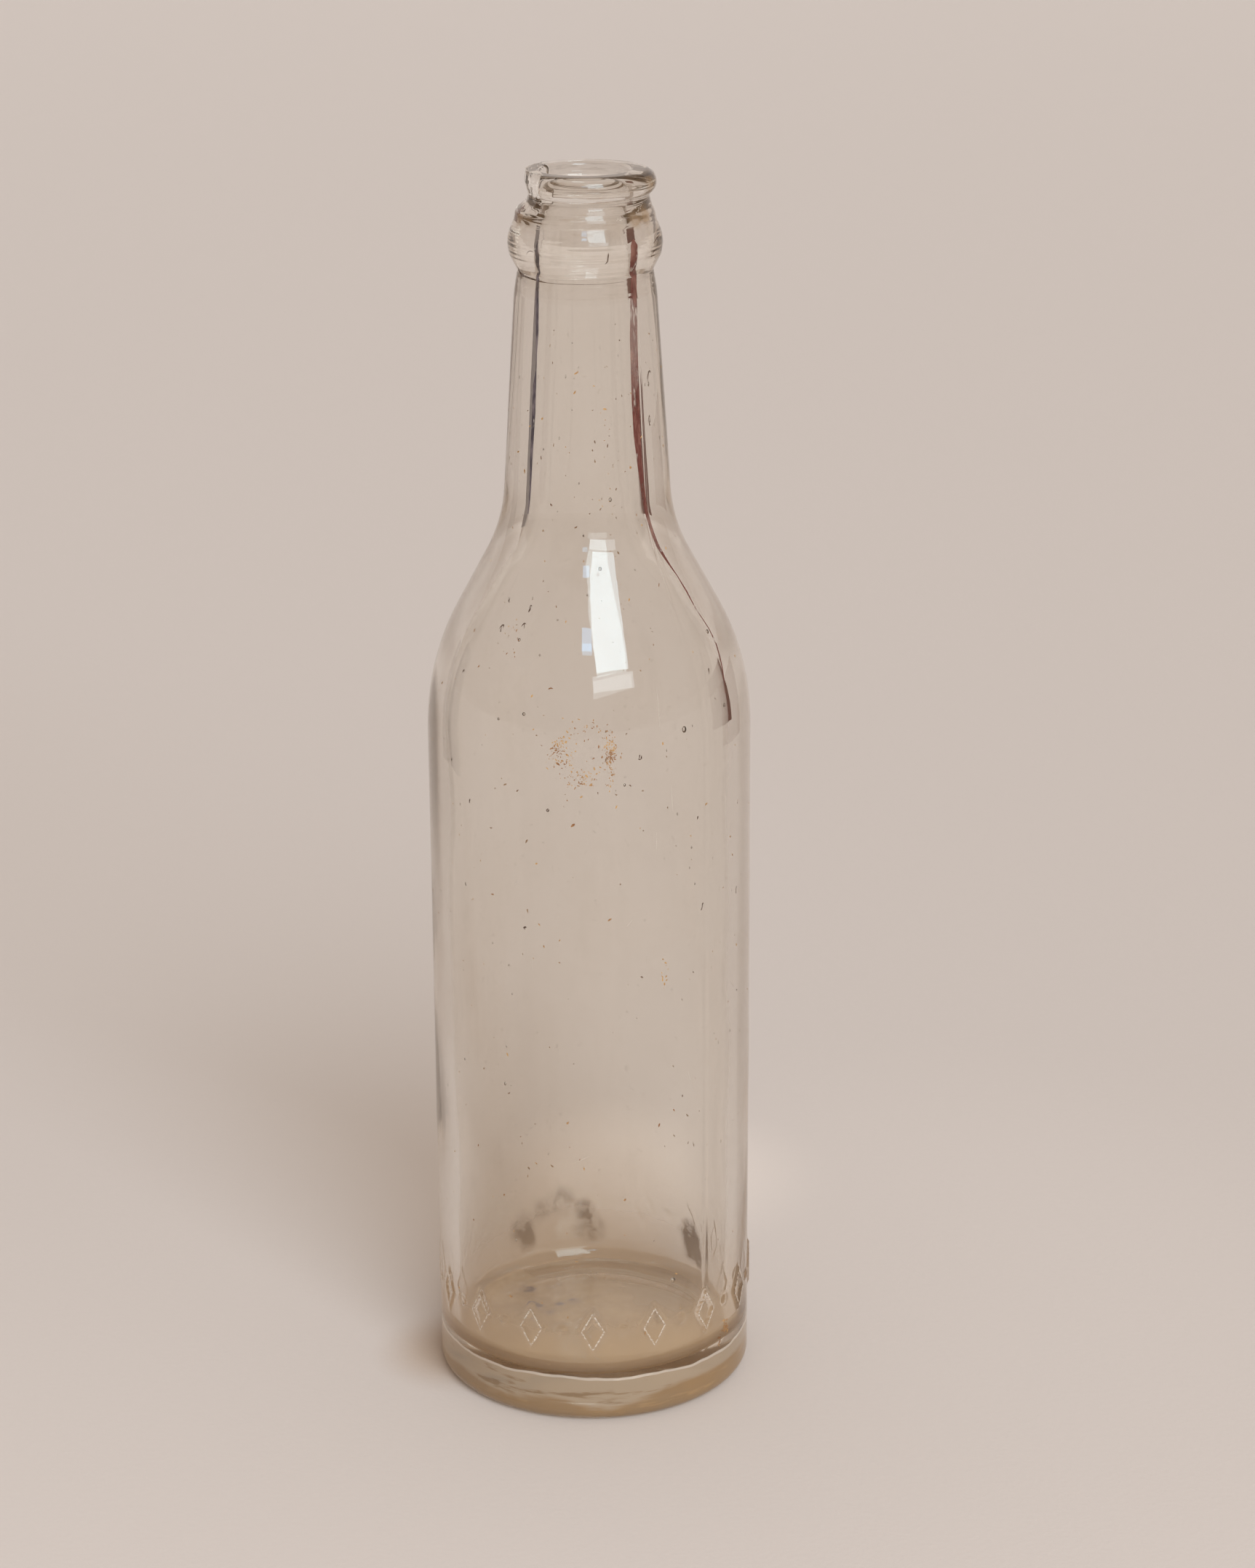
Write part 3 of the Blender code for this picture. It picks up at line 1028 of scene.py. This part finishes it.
def make_inner_skin(name, low, high, material):
    """A skin bonded to the inside of the glass between two heights."""
    line = [point for point in divided(inner_line(), inner_spacing) if low < point[1] <= high]
    residue_piece(name, skin_mesh(name, inside_places(moved_off(line, -FILM_DEPTH))), material)


def make_base_stain():
    """The stained layer just under the surface of the base."""
    line = divided(outer_line(), outer_spacing)
    line = [point for point in line if point[0] > 0.93 * BODY_RADIUS and point[1] < 12.0 * MM]
    mesh = skin_mesh("base_stain", outside_places(moved_off(line, -STAIN_DEPTH)))
    residue_piece("base_stain", mesh, base_stain())


def make_finish_grime_and_shade():
    """Thin grime round the neck ring, throat and lip, caught in the tool marks, with painted shade in
    blotches at the sides of the throat.
    """
    line = divided(outer_line(), outer_spacing)
    line = [point for point in line if 219.0 * MM < point[1] < 240.6 * MM]
    mesh = skin_mesh("finish_grime_and_shade", outside_places(moved_off(line, GRIME_STAND_OFF)))
    shape = bmesh.new()
    shape.from_mesh(mesh)
    gone = [vertex for vertex in shape.verts if in_flake(vertex.co)]
    bmesh.ops.delete(shape, geom=gone, context="VERTS")
    shape.to_mesh(mesh)
    shape.free()
    residue_piece("finish_grime_and_shade", mesh, finish_grime_and_shade())


def in_flake(point):
    """True where the glass was struck off the lip."""
    turn = math.degrees(math.atan2(-point.y, -point.x))
    left_standing = flake_surface(np.array(turn), np.array(point.z / MM))
    return point.z > 232.0 * MM and math.hypot(point.x, point.y) > left_standing - 0.1 * MM


def make_heel_dirt():
    """Dirt caught in the ornament at the back of the heel, seen blurred through the glass."""
    line = [(BODY_RADIUS + DIRT_STAND_OFF, height * MM) for height in np.linspace(3.5, 30.0, 24)]
    residue_piece("heel_dirt", skin_mesh("heel_dirt", outside_places(line)), heel_dirt())


def speck_places():
    """Places and sizes of the rust specks: (angle, height, size), in degrees and millimetres."""
    dice = np.random.default_rng(21)
    places = []
    ring_angle, ring_height, ring_radius, ring_spread = -0.3, 138.4, 4.8, 1.1
    wall_radius = 31.0
    for _ in range(230):
        around = dice.uniform(0.0, 2 * math.pi)
        away = dice.normal(ring_radius, ring_spread)
        if dice.random() > 0.35 + 0.5 * math.cos(around - 0.2) ** 2:
            continue
        angle = ring_angle + math.degrees(away * math.cos(around) / wall_radius)
        size = 0.06 + abs(dice.normal(0.0, 0.05))
        places.append((angle, ring_height + away * math.sin(around), size))
    clusters = (
        (7.7, 137.3, 1.0, 2.6, 100, 0.11),
        (8.6, 139.0, 0.6, 0.9, 18, 0.13),
        (-9.4, 140.0, 1.5, 1.0, 30, 0.12),
        (-12.5, 138.5, 1.8, 1.4, 22, 0.10),
        (-3.0, 133.0, 3.2, 1.0, 40, 0.10),
        (26.8, 94.2, 0.9, 1.8, 12, 0.18),
        (-33.0, 158.0, 2.5, 2.5, 16, 0.12),
        (57.0, 13.0, 1.2, 1.2, 26, 0.24),
        (53.0, 11.6, 0.8, 0.6, 14, 0.20),
        (15.0, 176.0, 3.0, 12.0, 20, 0.07),
    )
    for angle, height, spread_angle, spread_height, count, largest in clusters:
        for _ in range(count):
            places.append((
                angle + dice.normal(0.0, spread_angle),
                height + dice.normal(0.0, spread_height),
                dice.uniform(0.04, largest),
            ))
    places.append((-5.3, 124.3, 0.22))
    for _ in range(340):
        size = 0.07 + 0.13 * dice.random() ** 2
        places.append((dice.uniform(-180.0, 180.0), dice.uniform(18.0, 212.0), size))
    return places


def ribbon(shape, path, off=0.04 * MM):
    """A narrow smear on the glass along places (angle, height, half width), degrees and mm."""
    edges = []
    for index, (angle, height, half) in enumerate(path):
        before = path[max(0, index - 1)]
        after = path[min(len(path) - 1, index + 1)]
        along = wall_point(after[0], after[1] * MM, 0.0) - wall_point(before[0], before[1] * MM, 0.0)
        turn = math.radians(angle)
        outward = Vector((math.sin(turn), -math.cos(turn), 0.0))
        side = along.cross(outward).normalized() * half * MM
        middle = wall_point(angle, height * MM, -off)
        edges.append((shape.verts.new(middle - side), shape.verts.new(middle + side)))
    for (low, high), (next_low, next_high) in zip(edges, edges[1:]):
        shape.faces.new((low, next_low, next_high, high))


def bent(start, end, sag=0.0, half=0.1, steps=12, taper=True, rough=0.0, seed=1):
    """A path between two places (angle, height), bowed by sag mm and tapering at both ends."""
    dice = np.random.default_rng(seed)
    path = []
    for step in range(steps + 1):
        share = step / steps
        bow = 4 * share * (1 - share)
        width = half * (0.25 + 0.75 * bow if taper else 1.0) * (1.0 + rough * dice.uniform(-0.7, 0.7))
        path.append((
            start[0] + (end[0] - start[0]) * share,
            start[1] + (end[1] - start[1]) * share + sag * bow,
            width,
        ))
    return path


def make_specks():
    """Rust specks stuck to the outside of the glass, as small curled flakes."""
    dice = np.random.default_rng(8)
    shape = bmesh.new()
    for index, (angle, height, size) in enumerate(speck_places()):
        heading = dice.uniform(0.0, math.pi)
        reach = size * dice.uniform(1.2, 2.8)
        turn = math.degrees(reach * math.cos(heading) * MM / outer_radius(height * MM))
        rise = reach * math.sin(heading)
        sag = dice.uniform(-0.4, 0.4) * reach
        ends = ((angle - turn, height - rise), (angle + turn, height + rise))
        ribbon(shape, bent(*ends, sag=sag, half=size, steps=5, rough=0.5, seed=index))
    smear_piece("rust_specks", shape, rust_specks())


def make_streaks():
    """Ragged streaks of dirt down both sides of the neck, the right one on down the shoulder."""
    shape = bmesh.new()
    right = (
        (39, 230, 0.2), (39, 229, 0.8), (39, 226, 0.8), (41, 224, 0.8), (45, 223, 0.7),
        (42, 219, 0.8), (40, 212, 0.9), (39, 200, 0.9), (39, 194, 0.8), (40, 189, 0.6),
        (43, 181, 0.4), (46, 176, 0.4), (48, 173, 0.4), (55, 167, 0.1), (57, 164, 0.2),
        (58, 161, 0.1), (61, 157, 0.1), (62, 154, 0.2), (61, 150, 0.2), (59, 145, 0.1),
    )
    left = (
        (-37, 230, 0.1), (-37, 227, 0.5), (-39, 224, 0.3), (-43, 223, 0.3), (-41, 218, 0.4),
        (-40, 213, 0.3), (-40, 209, 0.1), (-40, 206, 0.1), (-41, 203, 0.4), (-41, 198, 0.4),
        (-42, 189, 0.3), (-42, 184, 0.2), (-43, 179, 0.1),
    )
    for path in (right, left):
        fine = []
        for start, end in zip(path, path[1:]):
            steps = max(1, int(abs(start[1] - end[1]) / 0.8))
            for step in range(steps):
                share = step / steps
                fine.append(tuple(a + (b - a) * share for a, b in zip(start, end)))
        ribbon(shape, fine + [path[-1]])
    smear_piece("neck_streaks", shape, rust_streak())


def make_dark_smears():
    """Dark dirt in the groove under the neck ring, small cracks and a crescent nick."""
    shape = bmesh.new()
    groove = (
        (-74.0, 223.3, 0.10), (-70.0, 222.9, 0.34), (-66.0, 222.6, 0.30), (-60.0, 222.5, 0.17),
        (-50.0, 222.4, 0.16), (-40.0, 222.2, 0.13), (-33.0, 222.1, 0.05), (-20.0, 222.1, 0.04),
        (0.0, 222.1, 0.035), (14.0, 222.1, 0.03), (34.0, 222.2, 0.02),
    )
    ribbon(shape, groove)
    for start, end, sag, half, rough in (
        ((-71.0, 224.2), (-68.0, 221.6), 0.0, 0.22, 0.5),
        ((17.0, 226.3), (17.6, 228.0), 0.0, 0.14, 0.0),
        ((15.2, 226.0), (17.3, 226.7), -0.1, 0.09, 0.0),
        ((-48.0, 227.1), (-40.0, 227.7), 0.5, 0.06, 0.0),
        ((-40.0, 227.7), (-33.0, 227.0), 0.35, 0.05, 0.0),
        ((61.0, 228.6), (76.0, 229.6), 0.2, 0.10, 0.6),
        ((58.0, 226.6), (70.0, 227.5), 0.1, 0.06, 0.6),
    ):
        ribbon(shape, bent(start, end, sag, half, rough=rough))
    smear_piece("dark_smears", shape, dark_dirt())


def make_curls():
    """Curled nicks in the surface, each a thin dark arc or two."""
    dice = np.random.default_rng(17)
    shape = bmesh.new()
    for index, (angle, height, size) in enumerate(CURLS):
        for turn in range(2 + index % 2):
            lean = dice.uniform(-0.6, 0.6) * size
            across = math.degrees(lean * MM / outer_radius(height * MM))
            low = (angle + across, height - 0.5 * size + 0.3 * turn * size)
            high = (angle - across * 0.6 + 0.5 * turn * size, height + 0.4 * size)
            sag = dice.choice((-0.5, 0.5)) * size
            ribbon(shape, bent(low, high, sag=sag, half=0.10, steps=7))
    smear_piece("curled_nicks", shape, dark_dirt())


def scratch(shape, angle, height, length, lean, half, steps):
    """A fine upright scratch, leaning by some degrees at each end."""
    low = (angle - lean, height - length / 2)
    high = (angle + lean, height + length / 2)
    ribbon(shape, bent(low, high, half=half, steps=steps))


def make_scuffs():
    """Fine pale scratches and chips of the surface."""
    dice = np.random.default_rng(33)
    shape = bmesh.new()
    for angle, height, length, lean in (
        (26.0, 145.5, 8.0, 0.2),
        (30.0, 128.0, 5.0, -0.3),
        (24.0, 120.0, 4.0, 0.1),
        (38.0, 70.0, 4.5, -1.4),
        (40.0, 100.0, 2.6, 0.8),
        (-26.0, 112.0, 2.0, 0.8),
    ):
        scratch(shape, angle, height, length, lean, 0.035, 8)
    for _ in range(26):
        angle = dice.uniform(-180.0, 180.0)
        height = dice.uniform(25.0, 150.0)
        length = dice.uniform(0.6, 2.4)
        lean = dice.normal(0.0, 1.6)
        scratch(shape, angle, height, length, lean, 0.03, 5)
    smear_piece("scuffs", shape, pale_scuff_and_glint())


def make_ornament_glints():
    """Painted highlights: pale lines along the raised outlines of the lozenges at the front, standing
    in for glints on their edges.
    """
    shape = bmesh.new()
    pitch = 360.0 / ORNAMENT_COUNT
    wide = 0.78 * math.degrees(LOZENGE_HALF_WIDTH / BODY_RADIUS)
    tall = 0.78 * LOZENGE_HALF_HEIGHT / MM
    level = ORNAMENT_Z / MM
    for step in range(-3, 4):
        middle = step * pitch
        corners = ((0.0, -tall), (wide, 0.0), (0.0, tall), (-wide, 0.0), (0.0, -tall))
        for (turn, rise), (next_turn, next_rise) in zip(corners, corners[1:]):
            ends = ((middle + turn, level + rise), (middle + next_turn, level + next_rise))
            path = bent(*ends, half=0.14, taper=False, rough=0.5, seed=step + 10)
            ribbon(shape, path, off=ORNAMENT_RISE)
    smear_piece("ornament_glints", shape, pale_scuff_and_glint())


def make_flecks():
    """Pale flecks left on the throat, where the metal cap was levered off."""
    dice = np.random.default_rng(14)
    shape = bmesh.new()
    for angle, height, spread, count, largest in (
        (29.0, 233.6, 3.2, 14, 0.22),
        (54.0, 235.2, 4.0, 20, 0.30),
        (-60.0, 233.4, 4.0, 5, 0.14),
        (-8.0, 233.9, 14.0, 10, 0.08),
    ):
        for _ in range(count):
            place = angle + dice.normal(0.0, spread)
            level = height + 0.16 * (place - angle) / 2 + dice.normal(0.0, 0.28)
            size = dice.uniform(0.06, largest)
            start = (place - 3.0 * size, level - size * dice.uniform(-1, 1))
            end = (place + 3.0 * size, level)
            seed = int(place * 10) % 97
            ribbon(shape, bent(start, end, half=size * 0.7, steps=4, rough=0.6, seed=seed))
    smear_piece("throat_flecks", shape, pale_scuff_and_glint())


# ---------------------------------------------------------------- studio

def make_sweep():
    """A wide pale sheet of paper: flat under the bottle and curving up far behind it."""
    half_width = 7.0
    front, bend, bend_radius, top = -7.0, 3.6, 0.9, 3.4
    profile = [(front, 0.0), (-1.0, 0.0), (0.0, 0.0), (1.0, 0.0), (bend, 0.0)]
    for step in range(1, 13):
        turn = math.pi / 2 * step / 12
        profile.append((bend + bend_radius * math.sin(turn), bend_radius * (1 - math.cos(turn))))
    profile.append((bend + bend_radius, top))
    shape = bmesh.new()
    rows = [
        [shape.verts.new((x * half_width, y, z)) for x in (-1.0, -0.5, 0.0, 0.5, 1.0)]
        for y, z in profile
    ]
    fill_between(shape, rows)
    mesh = mesh_from("paper_sweep", shape)
    mesh.shade_smooth()
    new_piece("paper_sweep", mesh, paper())


def make_card(name, colour, corners):
    """A matt card out of the camera's sight, which only the glass picks up."""
    shape = bmesh.new()
    low_left, low_right, high_right, high_left = [Vector(corner) for corner in corners]
    steps = 6
    rows = []
    for row in range(steps + 1):
        left = low_left.lerp(high_left, row / steps)
        right = low_right.lerp(high_right, row / steps)
        rows.append([shape.verts.new(left.lerp(right, col / steps)) for col in range(steps + 1)])
    fill_between(shape, rows)
    card = new_piece(name, mesh_from(name, shape), plain_card(name, colour))
    card.visible_camera = False
    card.visible_shadow = False
    card.visible_diffuse = False


def standing(azimuth, distance, width, low, high):
    """Corners of an upright card that faces the bottle, between two heights."""
    turn = math.radians(azimuth)
    middle = Vector((math.sin(turn) * distance, -math.cos(turn) * distance, low))
    half = Vector((math.cos(turn), math.sin(turn), 0.0)) * width / 2
    rise = Vector((0.0, 0.0, high - low))
    return (middle - half, middle + half, middle + half + rise, middle - half + rise)


def make_cards():
    """Dark cards beside the set: a red-brown one at the right and a slate one at the left."""
    make_card("right_card", (0.16, 0.045, 0.035), standing(118.0, 0.38, 0.17, 0.030, 0.140))
    make_card("left_card", (0.24, 0.22, 0.22), standing(-116.0, 0.42, 0.09, 0.001, 0.201))


def towards(azimuth, elevation):
    """The direction from the bottle towards a place in the studio, in degrees right and up."""
    turn = math.radians(azimuth)
    rise = math.radians(elevation)
    return Vector((math.sin(turn) * math.cos(rise), -math.cos(turn) * math.cos(rise), math.sin(rise)))


def make_key():
    """The soft key light, from the front right and above."""
    light = bpy.data.lights.new("soft_key", "SUN")
    light.angle = math.radians(34.0)
    light.energy = 2.0
    light.color = (0.95, 0.97, 1.0)
    key = bpy.data.objects.new("soft_key", light)
    bpy.context.collection.objects.link(key)
    key.rotation_euler = towards(19.5, 37.0).to_track_quat("Z", "Y").to_euler()
    key.visible_glossy = False
    key.visible_transmission = False


def make_pane(name, azimuths, elevations, brightness, colour):
    """One lit pane of the window that the glass mirrors."""
    distance = 3.0
    azimuth = sum(azimuths) / 2
    elevation = sum(elevations) / 2
    half_width = math.radians(azimuths[1] - azimuths[0]) / 2
    half_height = math.radians(elevations[1] - elevations[0]) / 2
    light = bpy.data.lights.new(name, "AREA")
    light.shape = "RECTANGLE"
    light.size = 2 * distance * math.tan(half_width) * math.cos(math.radians(elevation))
    light.size_y = 2 * distance * math.tan(half_height)
    light.energy = 4.0 * brightness * light.size * light.size_y
    light.color = colour
    pane = bpy.data.objects.new(name, light)
    bpy.context.collection.objects.link(pane)
    direction = towards(azimuth, elevation)
    pane.location = Vector((0.0, 0.0, 0.68 * HEIGHT)) + direction * distance
    pane.rotation_euler = direction.to_track_quat("Z", "Y").to_euler()
    pane.visible_diffuse = False


def make_window():
    """The window: two panes over each other, and a strip of sky at their left."""
    make_pane("high_pane", (3.5, 36.0), (25.6, 57.5), 5.4, (0.70, 0.90, 1.0))
    make_pane("low_pane", (3.5, 36.0), (17.0, 24.4), 2.6, (0.80, 0.93, 1.0))
    make_pane("sky_strip", (-6.0, 2.9), (35.0, 41.0), 5.0, (0.30, 0.64, 1.0))


def make_surroundings():
    """Even, slightly warm light from all round."""
    world = bpy.data.worlds.new("studio")
    bpy.context.scene.world = world
    world.use_nodes = True
    background = world.node_tree.nodes["Background"]
    background.inputs["Color"].default_value = (0.446, 0.367, 0.317, 1.0)
    background.inputs["Strength"].default_value = 1.0


def make_camera():
    """A short telephoto, a little above the lip and looking down at the middle of the body."""
    camera = bpy.data.cameras.new("camera")
    camera.lens = 83.44
    camera.sensor_width = 36.0
    camera.clip_start = 0.01
    eye = bpy.data.objects.new("camera", camera)
    bpy.context.collection.objects.link(eye)
    eye.location = (7.31 * MM, -669.3 * MM, 344.65 * MM)
    dip, roll = math.radians(18.398), math.radians(-0.296)
    eye.rotation_euler = Euler((math.pi / 2 - dip, 0.0, 0.0))
    eye.rotation_euler.rotate_axis("Z", roll)
    bpy.context.scene.camera = eye


def set_rendering():
    """Enough bounces for glass in glass, and colours shown as they are."""
    scene = bpy.context.scene
    scene.view_settings.view_transform = "Standard"
    scene.cycles.max_bounces = 24
    scene.cycles.transmission_bounces = 24
    scene.cycles.glossy_bounces = 8
    scene.cycles.transparent_max_bounces = 24


make_bottle()
make_inner_skin("dried_film_and_edge_shade", 9.6 * MM, 226.0 * MM, dried_film_and_edge_shade())
make_inner_skin("floor_sediment_and_corner_light", 0.0, 13.1 * MM, floor_sediment_and_corner_light())
make_base_stain()
make_finish_grime_and_shade()
make_heel_dirt()
make_specks()
make_streaks()
make_dark_smears()
make_curls()
make_scuffs()
make_ornament_glints()
make_flecks()
make_sweep()
make_cards()
make_key()
make_window()
make_surroundings()
make_camera()
set_rendering()
